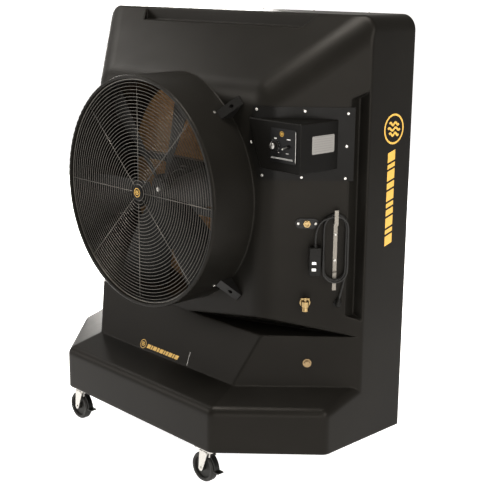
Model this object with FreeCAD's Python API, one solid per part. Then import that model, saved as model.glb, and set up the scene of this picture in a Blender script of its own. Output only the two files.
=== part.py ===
import FreeCAD, Part
import math
import os

# Portable evaporative cooler, millimetres.
# Everything is modelled about the fan's centre: X to the machine's left-to-right as seen from
# the front, Y towards the rear, Z up, y = 0 at the front lip of the fan shroud.
# At export each piece is moved so that the origin is on the floor under the middle of the box.

V = FreeCAD.Vector
ROOT2 = math.sqrt(2)
X_AXIS = V(1, 0, 0)
Y_AXIS = V(0, 1, 0)
Z_AXIS = V(0, 0, 1)

# ---- driving dimensions ----
FAN_HEIGHT = 1134.0        # fan axis above the floor
FAN_TO_MIDDLE = 370.0      # front lip of the shroud to the middle of the machine's depth
WALL = 8.0                 # moulded wall

SIDE_X = 814.0             # half width of the housing
REAR_Y = 749.0
TOP_Z = 727.0
BOTTOM_Z = -977.0
FACE_Y = 211.0             # flat front face of the hood
CHAMFER = 319.0            # x - y on the 45 degree side faces
TOP_SLOPE = 228.0          # z - y on the 45 degree top face
BOX_TOP_Z = -530.0         # top edge of the upper box
WALL_FOOT_Y = 130.0        # foot of the upper box's leaning front wall
LEDGE_IN_Z = -744.0
LEDGE_OUT_Z = -797.0
APRON_FRONT_Y = -29.0
APRON_CHAMFER = 516.0      # x - y on the apron's 45 degree faces
FRAME_CORNER_R = 62.0
HOOD_R = 150.0             # soft edges between the hood's flat faces
EDGE_R = 20.0
APRON_EDGE_R = 40.0
LEDGE_DROP = 1.06

SHROUD_R = 480.0
BORE_R = 466.0
OPENING_X = 742.0          # half width of the rear opening
OPENING_Z = (-602.0, 652.0)

RECESS_LIP_Y = 443.0
RECESS_WALL_Y = 494.0
NOTCH_RISE = 0.49          # slope of the notch's roof

GUARD_Y = (12.0, 16.0)
GUARD_RINGS = 30
GUARD_PITCH = 14.2
GUARD_WIRE = 4.0
GUARD_SPOKES = 8
BADGE_R = 34.0

BLADES = 6
BLADE_TIP_R = 448.0
BLADE_MID_Y = 150.0
FIRST_BLADE_DEG = 12.0
HUB_R = 62.0
SHAFT_R = 9.5
MOTOR_R = 82.0
RUNNING_GAP = 0.05

PAD_COUNT = 5
PAD_WIDTH = 295.0
PAD_Y = (588.0, 738.0)
PAD_Z = (-590.0, 640.0)
HEADER_Y = 663.0
HEADER_Z = 672.0
HEADER_R = 20.0

BOX_FRONT_Y = 201.0        # control cover: front face, right face, bottom and top
BOX_RIGHT_X = 732.0
BOX_Z = (150.0, 340.0)
COVER_WALL = 4.0
PANEL_X = (578.0, 712.0)
PANEL_Z = (186.0, 314.0)
PANEL_T = 2.5
KNOB_AT = (602.0, 247.0)
SWITCH_AT = (667.0, 248.0)

CASTER_X = 433.0
CASTER_FRONT_Y = 11.0
CASTER_REAR_Y = 660.0
WHEEL_R = 62.5
WHEEL_W = 36.0
TRAIL = 18.0

CORD_R = 4.25
COIL_U = 806.0
COIL_Z = -160.0
COIL_HALF = (54.0, 141.0)
COIL_N = (7.0, 39.0)

# Cord routes on the right 45 degree face: (distance along the face, out from it, height)
LEAD_ROUTE = [(828, 21, -362), (833, 20, -338), (839, 18, -315), (844, 16, -291), (847, 15, -268)]
TAIL_ROUTE = [(790, 33, -34), (767, 34, -40), (746, 36, -55), (733, 38, -78), (728, 40, -106),
              (728, 40, -139)]


# ---- helpers ----
def face(points):
    vectors = [V(*p) for p in points]
    return Part.Face(Part.makePolygon(vectors + [vectors[0]]))


def plan(points, z0, z1):
    """Plan outline (x, y) raised from z0 to z1."""
    return face([(x, y, z0) for x, y in points]).extrude(V(0, 0, z1 - z0))


def profile_x(points, x0, x1):
    """Side outline (y, z) run along X."""
    return face([(x0, y, z) for y, z in points]).extrude(V(x1 - x0, 0, 0))


def profile_y(points, y0, y1):
    """Front outline (x, z) run along Y."""
    return face([(x, y0, z) for x, z in points]).extrude(V(0, y1 - y0, 0))


def block(x, y, z):
    """Box between pairs of limits."""
    return Part.makeBox(x[1] - x[0], y[1] - y[0], z[1] - z[0], V(x[0], y[0], z[0]))


def rod(radius, start, end):
    start = V(*start)
    along = V(*end) - start
    return Part.makeCylinder(radius, along.Length, start, along)


def ring_y(inner, outer, y0, y1):
    return rod(outer, (0, y0, 0), (0, y1, 0)).cut(rod(inner, (0, y0 - 1, 0), (0, y1 + 1, 0)))


def hexagon(across_flats):
    """Corners about the origin."""
    r = across_flats / math.sqrt(3)
    return [(r * math.cos(math.radians(60 * k)), r * math.sin(math.radians(60 * k))) for k in range(6)]


def hexagon_rod(across_flats, start, end):
    """Hexagonal bar along Y."""
    return profile_y([(start[0] + x, start[2] + z) for x, z in hexagon(across_flats)], start[1], end[1])


def turned(shape, degrees, axis=Y_AXIS, about=V(0, 0, 0)):
    copy = shape.copy()
    copy.rotate(about, axis, degrees)
    return copy


def moved(shape, *offset):
    copy = shape.copy()
    copy.translate(V(*offset))
    return copy


def mirrored(shape):
    return shape.mirror(V(0, 0, 0), X_AXIS)


def to_slope(shape):
    """From (along the face, -out, height) to the right 45 degree face."""
    copy = turned(shape, 45, Z_AXIS)
    copy.translate(V(CHAMFER / 2, -CHAMFER / 2, 0))
    return copy


def fused(shapes):
    return shapes[0].multiFuse(shapes[1:]).removeSplitter()


def middle(edge):
    return edge.valueAt((edge.FirstParameter + edge.LastParameter) / 2)


def rounded(shape, radius, pick):
    return shape.makeFillet(radius, [e for e in shape.Edges if pick(e)])


def direction(edge):
    a, b = edge.Vertexes[0].Point, edge.Vertexes[-1].Point
    return (b - a).normalize() if (b - a).Length > 1e-6 else V(0, 0, 0)


def runs_along_x(edge):
    return abs(abs(direction(edge).x) - 1) < 0.01


def runs_along_y(edge):
    return abs(abs(direction(edge).y) - 1) < 0.01


def screw(radius, head_h, shank, base, outward):
    """Domed cross-slot screw, its head's underside at base."""
    head = rod(radius, (0, 0, 0), (0, 0, head_h))
    head = rounded(head, head_h * 0.7, lambda e: abs(middle(e).z - head_h) < 0.01)
    half_l, half_w = radius * 0.55, radius * 0.12
    slot = block((-half_l, half_l), (-half_w, half_w), (head_h * 0.45, head_h + 1))
    body = head.cut(slot).cut(turned(slot, 90, Z_AXIS)).fuse(rod(radius * 0.5, (0, 0, -shank), (0, 0, 0)))
    body.Placement = FreeCAD.Placement(V(*base), FreeCAD.Rotation(Z_AXIS, V(*outward)))
    return body


def save(name, shapes):
    if not isinstance(shapes, list):
        shapes = [shapes]
    solids = [solid for shape in shapes for solid in shape.Solids]
    result = Part.makeCompound(solids) if len(solids) > 1 else solids[0]
    result = moved(result, 0, -FAN_TO_MIDDLE, FAN_HEIGHT)
    result.exportStep("parts/%s.step" % name)
    volume = sum(s.Volume for s in solids) / 1000
    valid = all(s.isValid() for s in solids)
    print("%-16s %2d solid(s) %10.1f cm3 %s" % (name, len(solids), volume, "" if valid else "INVALID"))


# ---- housing ----
def plan_outline(front, chamfer, side, rear):
    corner = front + chamfer
    return [(-corner, front), (corner, front), (side, side - chamfer), (side, rear), (-side, rear),
            (-side, side - chamfer)]


WALL_LEAN = (FACE_Y - WALL_FOOT_Y) / (BOX_TOP_Z - LEDGE_IN_Z)
HOOD_BASE_Z = LEDGE_IN_Z - 46
HOOD_MARGIN = 60.0         # how far the hood's faces run on below the upper box's top
HOOD_FLAT_Y = 400.0        # ahead of this the hood has only its own soft edges


def hood_faces(inset, radius):
    """Front face and the three 45 degree faces with soft edges, run on past the rear frame."""
    far = REAR_Y + 150
    front = FACE_Y + inset
    slope = TOP_SLOPE - inset * ROOT2
    side = CHAMFER - inset * ROOT2
    base = BOX_TOP_Z - HOOD_MARGIN
    profile = [(front, base), (front, front + slope), (far, far + slope), (far, base)]
    outline = [(-front - side, front), (front + side, front), (far + side, far), (-far - side, far)]
    body = profile_x(profile, -2 * SIDE_X, 2 * SIDE_X).common(plan(outline, base, far + slope))
    return rounded(body, radius, lambda e: middle(e).y < far - 1 and middle(e).z > base + 1)


def hood(inset, rear):
    """Sloped hood cut off square by the rear frame's sides and top."""
    frame = block((inset - SIDE_X, SIDE_X - inset), (FACE_Y - 1, rear), (BOX_TOP_Z, TOP_Z - inset))
    frame = rounded(frame, FRAME_CORNER_R - inset, lambda e: runs_along_y(e) and middle(e).z > 0)
    body = hood_faces(inset, HOOD_R - inset).common(frame)
    return rounded(body, EDGE_R, lambda e: HOOD_FLAT_Y < middle(e).y < rear - 1 and not runs_along_y(e)
                   and middle(e).z > BOX_TOP_Z + 1)


def upper_box(inset, rear):
    """Box between the ledge and the hood, its front wall leaning back."""
    front = FACE_Y + inset
    foot = WALL_FOOT_Y + inset * math.hypot(1, WALL_LEAN) - (LEDGE_IN_Z - HOOD_BASE_Z) * WALL_LEAN
    side = [(foot, HOOD_BASE_Z), (front, BOX_TOP_Z), (rear, BOX_TOP_Z), (rear, HOOD_BASE_Z)]
    outline = plan_outline(foot, CHAMFER - inset * ROOT2, SIDE_X - inset, rear)
    body = profile_x(side, -SIDE_X, SIDE_X).common(plan(outline, HOOD_BASE_Z, BOX_TOP_Z))
    return rounded(body, EDGE_R, lambda e: HOOD_BASE_Z + 1 < middle(e).z < BOX_TOP_Z - 1
                   and middle(e).y < rear - 1)


def apron(inset, rear):
    """Tank apron with its sloping ledge."""
    out_w = APRON_CHAMFER / ROOT2
    in_w = CHAMFER / ROOT2
    fall = (LEDGE_IN_Z - LEDGE_OUT_Z) / (out_w - in_w)
    drop = inset * LEDGE_DROP
    front = APRON_FRONT_Y + inset
    side = [(front, BOTTOM_Z + inset), (front, LEDGE_OUT_Z - drop), (WALL_FOOT_Y, LEDGE_IN_Z - drop),
            (rear, LEDGE_IN_Z - drop), (rear, BOTTOM_Z + inset)]
    outline = plan_outline(front, APRON_CHAMFER - inset * ROOT2, SIDE_X - inset, rear)
    body = profile_x(side, -SIDE_X, SIDE_X).common(plan(outline, BOTTOM_Z + inset, LEDGE_IN_Z))
    margin = 60
    top = LEDGE_IN_Z + margin
    above = [(in_w - margin, LEDGE_IN_Z - drop + margin * fall),
             (out_w + margin, LEDGE_OUT_Z - drop - margin * fall), (out_w + margin, top),
             (in_w - margin, top)]
    cutter = profile_y(above, -2 * SIDE_X, 2 * SIDE_X)
    for degrees in (-45, -135):
        body = body.cut(turned(cutter, degrees, Z_AXIS))
    return body


def soft_apron(inset, rear):
    """Tank apron with its outer edges rounded about the same centres at any inset."""
    low = BOTTOM_Z + inset + 1
    high = LEDGE_IN_Z - inset * LEDGE_DROP - 1
    return rounded(apron(inset, rear), APRON_EDGE_R - inset, lambda e: low < middle(e).z < high
                   and middle(e).y < rear - 1)


def corner_notch(grow):
    """Wedge under the hood's lower front corner, over the upper box (right side)."""
    along = V(SIDE_X - 8 - 81, SIDE_X - 8 - CHAMFER - FACE_Y, 0).normalize()
    inward = V(-along.y, along.x, 0)
    shift = inward * (grow * (1 + math.hypot(1, NOTCH_RISE)) / NOTCH_RISE)
    inner = V(81, FACE_Y, BOX_TOP_Z - grow) + shift - along * 2 * grow
    rear = V(SIDE_X - 8, SIDE_X - 8 - CHAMFER, BOX_TOP_Z - grow) + shift
    outer = V(880, -140, BOX_TOP_Z - grow)
    reach = (outer - inner).cross(along).Length
    lifted = V(outer.x, outer.y, BOX_TOP_Z - grow + reach * NOTCH_RISE)
    sides = [(inner, rear, outer), (inner, rear, lifted), (inner, outer, lifted), (rear, outer, lifted)]
    return Part.Solid(Part.Shell([Part.Face(Part.makePolygon([a, b, c, a])) for a, b, c in sides]))


def side_recess():
    """Tall step beside the rear frame, its ends mitred (right side)."""
    lip_x = RECESS_LIP_Y + CHAMFER
    outline = [(lip_x, RECESS_LIP_Y - 30), (lip_x, RECESS_WALL_Y), (SIDE_X + 30, RECESS_WALL_Y),
               (SIDE_X + 30, RECESS_LIP_Y - 30)]
    step = plan(outline, -470, 460)
    lip_z = (-442, 418)
    frame_z = (-462, 450)
    span = SIDE_X - lip_x
    for k, sign in ((0, -1), (1, 1)):
        rise = (frame_z[k] - lip_z[k]) / span
        a = lip_z[k] - 5 * rise
        b = lip_z[k] + (span + 40) * rise
        far = sign * 600
        end = profile_y([(lip_x - 5, a), (SIDE_X + 40, b), (SIDE_X + 40, far), (lip_x - 5, far)], 300, 600)
        step = step.cut(end)
    return step


def top_recess():
    """Long step along the top of the sloped hood, its ends mitred in plan."""
    lip_z = RECESS_LIP_Y + TOP_SLOPE
    lip_x = 487
    back_x = 531
    spread = (back_x - lip_x) / (RECESS_WALL_Y - RECESS_LIP_Y)
    ahead = 30
    near = lip_x - ahead * spread
    outline = [(-near, RECESS_LIP_Y - ahead), (near, RECESS_LIP_Y - ahead), (back_x, RECESS_WALL_Y),
               (-back_x, RECESS_WALL_Y)]
    return plan(outline, lip_z, TOP_Z + 30)


def recess_walls(inside):
    """Material that keeps a wall behind each recess."""
    walls = [corner_notch(WALL)]
    x = (RECESS_LIP_Y + CHAMFER - WALL, SIDE_X)
    walls.append(block(x, (RECESS_LIP_Y - 20, RECESS_WALL_Y + WALL), (-475, 465)))
    walls += [mirrored(wall) for wall in walls]
    lip_z = RECESS_LIP_Y + TOP_SLOPE
    walls.append(block((-545, 545), (RECESS_LIP_Y - 20, RECESS_WALL_Y + WALL), (lip_z - WALL, TOP_Z)))
    return [wall.common(inside) for wall in walls]


def housing():
    upper = hood(0, REAR_Y)
    upper = upper.cut(corner_notch(0)).cut(mirrored(corner_notch(0)))
    shroud = rod(SHROUD_R, (0, 0, 0), (0, FACE_Y + 120, 0))
    shroud = rounded(shroud, 7, lambda e: abs(middle(e).y) < 0.1)
    rear = REAR_Y - WALL
    inside = fused([hood(WALL, rear), upper_box(WALL, rear), soft_apron(WALL, rear)])
    shell = fused([upper, upper_box(0, REAR_Y), soft_apron(0, REAR_Y), shroud]).cut(inside)
    shell = fused([shell] + recess_walls(inside))
    shell = shell.cut(block((-OPENING_X, OPENING_X), (rear - 30, REAR_Y + 10), OPENING_Z))
    shell = shell.cut(rod(BORE_R, (0, -5, 0), (0, RECESS_WALL_Y, 0)))
    for recess in (corner_notch(0), side_recess()):
        shell = shell.cut(recess).cut(mirrored(recess))
    return shell.cut(top_recess())


# ---- fan, guard and motor ----
def round_profile(points):
    """Outline (radius, y) turned about the fan's axis."""
    return face([(r, y, 0) for r, y in points]).revolve(V(0, 0, 0), Y_AXIS, 360)


def front_guard():
    """Flat guard of rings and spokes, punched from one disc."""
    y0, y1 = GUARD_Y
    openings = []
    for k in range(GUARD_RINGS):
        inner = BADGE_R + 2 + k * GUARD_PITCH + (GUARD_WIRE / 2 if k else 0)
        outer = BADGE_R + 2 + (k + 1) * GUARD_PITCH - GUARD_WIRE / 2
        for n in range(GUARD_SPOKES):
            openings.append(ring_sector(inner, min(outer, BORE_R - 6), n * 360 / GUARD_SPOKES, y0))
    disc = Part.Wire(Part.makeCircle(BORE_R, V(0, y0, 0), Y_AXIS))
    return Part.Face([disc] + openings, "Part::FaceMakerBullseye").extrude(V(0, y1 - y0, 0))


def ring_sector(inner, outer, spoke_deg, y):
    """Outline of the gap between two rings and two spokes."""
    def corner(radius, side):
        lean = math.degrees(math.asin(GUARD_WIRE / 2 / radius))
        degrees = spoke_deg + (lean if side < 0 else 360 / GUARD_SPOKES - lean)
        return V(radius * math.cos(math.radians(degrees)), y, radius * math.sin(math.radians(degrees)))

    half = math.radians(spoke_deg + 180 / GUARD_SPOKES)
    across = V(math.cos(half), 0, math.sin(half))
    a, b, c, d = corner(inner, -1), corner(outer, -1), corner(outer, 1), corner(inner, 1)
    centre = V(0, y, 0)
    return Part.Wire([Part.LineSegment(a, b).toShape(), Part.Arc(b, centre + across * outer, c).toShape(),
                      Part.LineSegment(c, d).toShape(), Part.Arc(d, centre + across * inner, a).toShape()])


def hub_badge():
    y = GUARD_Y[0]
    return round_profile([(0, y), (BADGE_R, y), (BADGE_R, y - 2), (BADGE_R - 5, y - 4), (0, y - 5)])


CLIP_R = (480.5, 566.0)
CLIP_FRONT_Y = 150.0
CLIP_HALF_W = 20.0
CLIP_SCREW_R = 530.0
CLIP_ANGLES = (45, 135, 225, 315)
CLIP_SEAT = 6.0


def guard_clips():
    """Wedge-shaped brackets between the shroud and the hood's face."""
    inner, outer = CLIP_R
    side = [(inner, FACE_Y + 5), (outer, FACE_Y + 5), (outer, FACE_Y - 5), (inner, CLIP_FRONT_Y)]
    wedge = face([(r, y, -CLIP_HALF_W) for r, y in side]).extrude(V(0, 0, 2 * CLIP_HALF_W))
    wedge = wedge.cut(rod(8, (CLIP_SCREW_R, FACE_Y - CLIP_SEAT, 0), (CLIP_SCREW_R, 0, 0)))
    wedge = wedge.cut(rod(SHROUD_R, (0, 0, 0), (0, FACE_Y + 10, 0)))
    return [turned(wedge, -a).cut(hood_faces(0, HOOD_R)) for a in CLIP_ANGLES]


SHROUD_SCREW_Y = 139.0
SHROUD_SCREW_DEG = (47, 133, 227, 313)


SMALL_SCREW = (6.0, 3.8, 14.0)   # head radius, head height, shank


def guard_screws():
    screws = []
    for a in CLIP_ANGLES:
        x, z = CLIP_SCREW_R * math.cos(math.radians(a)), CLIP_SCREW_R * math.sin(math.radians(a))
        screws.append(screw(*SMALL_SCREW, (x, FACE_Y - CLIP_SEAT, z), (0, -1, 0)))
    for a in SHROUD_SCREW_DEG:
        out = V(math.cos(math.radians(a)), 0, math.sin(math.radians(a)))
        screws.append(screw(*SMALL_SCREW, out * (SHROUD_R - 0.3) + V(0, SHROUD_SCREW_Y, 0), out))
    return screws


VENTURI_R = (457.0, 460.0)
VENTURI_FLARE = 40.0


def fan_venturi():
    """Rolled ring inside the shroud, flared to a bell mouth at the rear."""
    inner, outer = VENTURI_R
    front = GUARD_Y[1]
    flare_y = 330.0
    centre = V(outer + VENTURI_FLARE, flare_y, 0)

    def flare(radius):
        s = radius / ROOT2
        start, end = centre - V(radius, 0, 0), centre + V(0, radius, 0)
        return Part.Arc(start, centre + V(-s, s, 0), end).toShape()

    inside, outside = flare(VENTURI_FLARE + outer - inner), flare(VENTURI_FLARE)
    a, b = inside.Vertexes[0].Point, inside.Vertexes[-1].Point
    c, d = outside.Vertexes[-1].Point, outside.Vertexes[0].Point
    flange = front + 4
    corners = [d, V(outer, flange, 0), V(BORE_R, flange, 0), V(BORE_R, front, 0), V(inner, front, 0), a]
    lines = [Part.LineSegment(p, q).toShape() for p, q in zip(corners, corners[1:])]
    wire = Part.Wire(Part.__sortEdges__([inside, Part.LineSegment(b, c).toShape(), outside] + lines))
    return Part.Face(wire).revolve(V(0, 0, 0), Y_AXIS, 360)


# Blade sections: (radius, chord, pitch in degrees)
BLADE_SECTIONS = [(50, 90, 42), (180, 152, 36), (320, 198, 29), (455, 218, 24)]
BLADE_THICKNESS = 3.0
BLADE_CAMBER = 0.09


def blade_section(radius, chord, pitch):
    """Closed cambered outline across the blade at one radius."""
    def side(offset):
        points = []
        for k in range(-2, 3):
            along = k / 2 * chord / 2
            bow = chord * BLADE_CAMBER * (1 - (k / 2) ** 2) + offset
            a = math.radians(pitch)
            points.append(V(radius, BLADE_MID_Y + along * math.sin(a) - bow * math.cos(a),
                            along * math.cos(a) + bow * math.sin(a)))
        return points

    low, high = side(-BLADE_THICKNESS / 2), side(BLADE_THICKNESS / 2)
    curves = []
    for points in (low, high):
        spline = Part.BSplineCurve()
        spline.interpolate(points)
        curves.append(spline.toShape())
    ends = [Part.LineSegment(low[k], high[k]).toShape() for k in (-1, 0)]
    return Part.Wire([curves[0], ends[0], curves[1], ends[1]])


def fan_blades():
    blade = Part.makeLoft([blade_section(*s) for s in BLADE_SECTIONS], True)
    blade = blade.common(rod(BLADE_TIP_R, (0, 0, 0), (0, 300, 0)))
    blade = blade.cut(rod(HUB_R, (0, 0, 0), (0, 300, 0)))
    return [turned(blade, -(FIRST_BLADE_DEG + k * 360 / BLADES)) for k in range(BLADES)]


HUB_Y = (122.0, 182.0)
SHAFT_Y = (116.0, 300.0)
MOTOR_FRONT_Y = 215.0
HUB_BOLT_R = 36.0


def fan_hub():
    y0, y1 = HUB_Y
    hub = round_profile([(SHAFT_R, y0), (HUB_R - 14, y0), (HUB_R, y0 + 12), (HUB_R, y1), (SHAFT_R, y1)])
    bolt = hexagon_rod(13, (HUB_BOLT_R, y0, 0), (HUB_BOLT_R, y0 - 6, 0))
    return fused([hub] + [turned(bolt, k * 360 / BLADES) for k in range(BLADES)])


def motor_shaft():
    return rod(SHAFT_R, (0, SHAFT_Y[0], 0), (0, SHAFT_Y[1], 0))


def motor():
    y = MOTOR_FRONT_Y
    bore = SHAFT_R + RUNNING_GAP
    end = SHAFT_Y[1] + 2
    return round_profile([(0, end), (bore, end), (bore, y), (26, y), (30, y + 10), (64, y + 14),
                          (70, y + 22), (70, y + 34), (MOTOR_R, y + 34), (MOTOR_R, y + 176), (74, y + 176),
                          (70, y + 200), (0, y + 205)])


MOUNT_Y = (262.0, 292.0)
MOUNT_Z = (85.0, 115.0)


def motor_mount():
    """Two cross bars inside the venturi with a cradle plate for the motor."""
    z0, z1 = MOUNT_Z
    bars = [block((-470, 470), MOUNT_Y, z) for z in ((z0, z1), (-z1, -z0))]
    plates = [block((-z1, z1), (MOUNT_Y[0] + y, MOUNT_Y[0] + y + 6), (-z1, z1)) for y in (2, 22)]
    frame = fused(bars + plates).common(rod(VENTURI_R[0], (0, 200, 0), (0, 320, 0)))
    return frame.cut(rod(MOTOR_R, (0, 200, 0), (0, 320, 0)))


# ---- pads, water pieces and rear frame ----
def media_pad(index):
    gap = 1.0
    x = (index - PAD_COUNT / 2) * (PAD_WIDTH + gap) + gap / 2
    return block((x, x + PAD_WIDTH), PAD_Y, PAD_Z)


TRAY_X = 752.0
TRAY_T = 3.0


def pad_tray():
    """Shelf under the pads with drain slots and upturned edges."""
    z0 = PAD_Z[0] - TRAY_T
    rear = REAR_Y - WALL
    front = PAD_Y[0] - 6
    tray = block((-TRAY_X, TRAY_X), (front, rear), (z0, PAD_Z[0]))
    lip = block((-TRAY_X, TRAY_X), (front, front + TRAY_T), (z0, PAD_Z[0] + 22))
    slots = [block((x - 60, x + 60), (y - 12, y + 12), (z0 - 1, PAD_Z[0] + 1))
             for x in range(-650, 651, 163) for y in (625, 665, 705)]
    return tray.fuse(lip).cut(Part.makeCompound(slots))


RIM_X = 782.0
RIM_Z = (-645.0, 700.0)
RIM_Y = (749.0, 765.5)
WINDOW_X = 735.0
WINDOW_Z = (-595.0, 645.0)
SCREEN_X = 760.0
SCREEN_Z = (-620.0, 670.0)
SCREEN_T = 3.0
SCREEN_COLUMNS = 28
SCREEN_ROWS = 16
SCREEN_BAR = 5.0


def media_frame():
    """Rear frame that holds the intake screen against the housing."""
    frame = block((-RIM_X, RIM_X), RIM_Y, RIM_Z)
    frame = rounded(frame, 34, runs_along_y)
    frame = rounded(frame, 5, lambda e: abs(middle(e).y - RIM_Y[1]) < 0.01)
    frame = frame.cut(block((-WINDOW_X, WINDOW_X), (RIM_Y[0] - 1, RIM_Y[1] + 1), WINDOW_Z))
    return frame.cut(block((-SCREEN_X, SCREEN_X), (RIM_Y[0] - 1, RIM_Y[0] + SCREEN_T), SCREEN_Z))


def inlet_screen():
    """Grid of upright slots."""
    y = RIM_Y[0]
    outline = [(-SCREEN_X, y, SCREEN_Z[0]), (SCREEN_X, y, SCREEN_Z[0]), (SCREEN_X, y, SCREEN_Z[1]),
               (-SCREEN_X, y, SCREEN_Z[1])]
    wires = [face(outline).OuterWire]
    step_x = 2 * WINDOW_X / SCREEN_COLUMNS
    step_z = (WINDOW_Z[1] - WINDOW_Z[0]) / SCREEN_ROWS
    for i in range(SCREEN_COLUMNS):
        for j in range(SCREEN_ROWS):
            x = -WINDOW_X + i * step_x + SCREEN_BAR / 2
            z = WINDOW_Z[0] + j * step_z + SCREEN_BAR / 2
            far_x, far_z = x + step_x - SCREEN_BAR, z + step_z - SCREEN_BAR
            wires.append(face([(x, y, z), (far_x, y, z), (far_x, y, far_z), (x, y, far_z)]).OuterWire)
    return Part.Face(wires, "Part::FaceMakerBullseye").extrude(V(0, SCREEN_T, 0))


def frame_screws():
    rim_x, rim_low, rim_high = RIM_X - 11, RIM_Z[0] + 12, RIM_Z[1] - 14
    spots = [(x, z) for x in (-500, 0, 500) for z in (rim_low, rim_high)]
    spots += [(x, z) for x in (-rim_x, rim_x) for z in (-400, 30, 460)]
    screws = [screw(6, 3.5, 28, (x, RIM_Y[1], z), (0, 1, 0)) for x, z in spots]
    screws += [screw(5, 3, 7, (x, 722, TOP_Z), (0, 0, 1)) for x in (-600, -300, 0, 300, 600)]
    return screws


HEADER_X = (-735.0, 745.0)
CHANNEL_X = 730.0
CHANNEL_Y = (633.0, 693.0)
CHANNEL_T = 2.0


def water_header():
    return rod(HEADER_R, (HEADER_X[0], HEADER_Y, HEADER_Z), (HEADER_X[1], HEADER_Y, HEADER_Z))


def drip_channel():
    """Cover over the header that spreads its water, with three saddles."""
    z0, z1 = PAD_Z[1], PAD_Z[1] + 64
    y0, y1 = CHANNEL_Y
    t = CHANNEL_T
    section = [(y0, z0), (y0, z1), (y1, z1), (y1, z0), (y1 - t, z0), (y1 - t, z1 - t), (y0 + t, z1 - t),
               (y0 + t, z0)]
    channel = profile_x(section, -CHANNEL_X, CHANNEL_X)
    saddles = [block((x - 4, x + 4), (y0, y1), (z0, z1)) for x in (-500, 0, 500)]
    pipe = rod(HEADER_R, (-800, HEADER_Y, HEADER_Z), (800, HEADER_Y, HEADER_Z))
    return fused([channel] + saddles).cut(pipe)


PUMP_AT = (600.0, 560.0)
FLOOR_Z = BOTTOM_Z + WALL
HOSE_R = 13.0
RISER_X = 770.0


def riser_hose():
    x, y = PUMP_AT
    points = [(x, y, FLOOR_Z + 150), (x, y, FLOOR_Z + 250), (RISER_X, HEADER_Y, FLOOR_Z + 340),
              (RISER_X, HEADER_Y, HEADER_Z), (HEADER_X[1], HEADER_Y, HEADER_Z)]
    runs = [rod(HOSE_R, a, b) for a, b in zip(points, points[1:])]
    bends = [Part.makeSphere(HOSE_R, V(*p)) for p in points[1:-1]]
    return fused(runs + bends)


PUMP_R = 46.0
IMPELLER_R = 27.0
PUMP_SHAFT_R = 4.0


def pump_body():
    x, y = PUMP_AT
    z = FLOOR_Z + 26
    body = rod(PUMP_R, (x, y, z), (x, y, z + 100))
    body = rounded(body, 8, lambda e: middle(e).z > z + 99)
    body = body.fuse(rod(HOSE_R, (x, y, z + 99), (x, y, z + 124)))
    body = body.cut(rod(IMPELLER_R + 4, (x, y, z - 1), (x, y, z + 20)))
    return body.cut(rod(PUMP_SHAFT_R + RUNNING_GAP, (x, y, z), (x, y, z + 60)))


def pump_screen():
    """Slotted strainer cup that the pump stands on."""
    x, y = PUMP_AT
    cup = rod(PUMP_R, (x, y, FLOOR_Z), (x, y, FLOOR_Z + 26))
    cup = cup.cut(rod(PUMP_R - 3, (x, y, FLOOR_Z + 3), (x, y, 0)))
    slot = block((x + PUMP_R - 6, x + PUMP_R + 3), (y - 3, y + 3), (FLOOR_Z + 6, FLOOR_Z + 20))
    return cup.cut(Part.makeCompound([turned(slot, 22.5 * k, Z_AXIS, V(x, y, 0)) for k in range(16)]))


def pump_impeller():
    x, y = PUMP_AT
    z = FLOOR_Z + 26
    disc = rod(IMPELLER_R, (x, y, z + 12), (x, y, z + 15))
    shaft = rod(PUMP_SHAFT_R, (x, y, z + 2), (x, y, z + 58))
    vane = block((x + 2, x + IMPELLER_R - 1), (y - 1, y + 1), (z + 2, z + 12.5))
    return fused([disc, shaft] + [turned(vane, 60 * k, Z_AXIS, V(x, y, 0)) for k in range(6)])


FLOAT_U = 694.0
FLOAT_Z = -600.0
FLOAT_N = -46.0
FLOAT_PIN_R = 3.0
FLOAT_BALL = (-200.0, -690.0, 42.0)


def float_valve():
    """Valve block behind the right 45 degree wall with a pair of ears for the arm's pin."""
    u, z, out = FLOAT_U, FLOAT_Z, FLOAT_N
    block_in = block((u - 15, u + 15), (WALL, -out - 10), (z - 16, z + 16))
    ears = [block((u + s * 15 - 3, u + s * 15 + 3), (-out - 16, -out + 8), (z - 9, z + 9)) for s in (-1, 1)]
    body = fused([block_in] + ears)
    bore = rod(FLOAT_PIN_R + RUNNING_GAP, (u - 30, -out, z), (u + 30, -out, z))
    return to_slope(body.cut(bore))


def float_arm():
    u, z, out = FLOAT_U, FLOAT_Z, FLOAT_N
    ball_n, ball_z, ball_r = FLOAT_BALL
    along = V(0, -ball_n + out, ball_z - z).normalize()
    end = V(u, -ball_n, ball_z) - along * ball_r
    pin = rod(FLOAT_PIN_R, (u - 19, -out, z), (u + 19, -out, z))
    boss = rod(7, (u - 9, -out, z), (u + 9, -out, z))
    return to_slope(fused([pin, boss, rod(3.5, (u, -out, z), tuple(end))]))


def float_ball():
    ball_n, ball_z, ball_r = FLOAT_BALL
    u, z, out = FLOAT_U, FLOAT_Z, FLOAT_N
    along = V(0, -ball_n + out, ball_z - z).normalize()
    centre = V(u, -ball_n, ball_z)
    stem_end = centre - along * ball_r
    socket = rod(8, tuple(stem_end - along * 5), tuple(stem_end + along * 1.2))
    ball = Part.makeSphere(ball_r, centre).cut(socket)
    collar = rod(7, tuple(stem_end), tuple(stem_end + along * 6))
    return to_slope(ball.fuse(collar).removeSplitter())


# ---- control box ----
COVER_Z = (104.0, 386.0)
COVER_LEFT = [(472, 386), (447, 250), (447, 236), (500, 104)]
BOX_LEFT = [(453, 343), (521, 146)]
COVER_PLATE = 4.0
COVER_RIGHT_X = 774.0
COVER_START_X = 430.0      # left of everything in the cover
FACE_CORNER_X = FACE_Y + CHAMFER


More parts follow.
